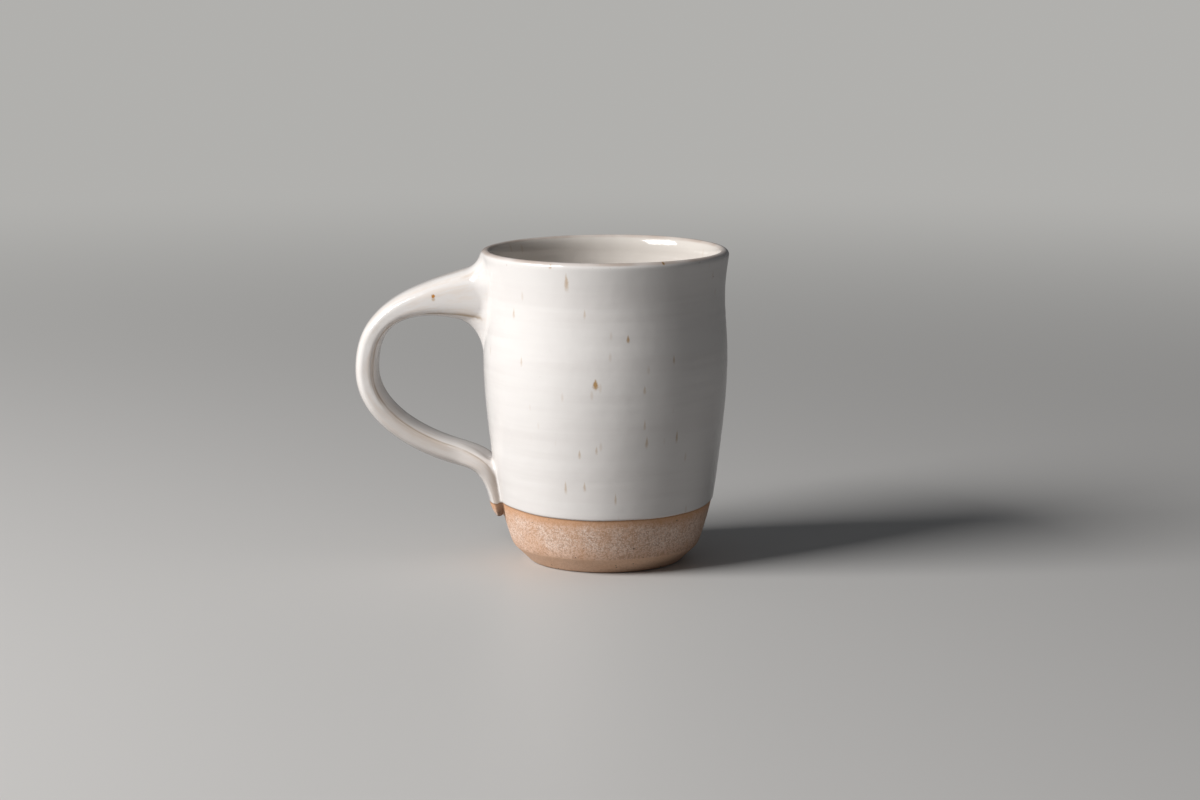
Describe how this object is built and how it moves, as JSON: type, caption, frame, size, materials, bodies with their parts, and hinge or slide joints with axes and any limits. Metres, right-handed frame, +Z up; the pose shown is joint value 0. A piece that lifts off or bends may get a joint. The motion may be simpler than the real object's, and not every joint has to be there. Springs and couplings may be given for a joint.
{
  "type": "stoneware mug",
  "caption": "Hand-thrown stoneware mug with a softly waisted body, a dipped glaze line above a bare trimmed foot, and a pulled strap handle.",
  "frame": {"origin": "centre of the flat underside, on the axis the mug was thrown round", "axes": "+Z up the mug's axis, -X towards the handle, the XZ plane halves the handle"},
  "size_m": [0.1334, 0.088, 0.112],
  "materials": {
    "stoneware": "satin-gloss warm white speckled glaze over toasted buff clay, bare below the dipped line"
  },
  "bodies": {
    "root": {"mug": "stoneware"}
  },
  "joints": []
}
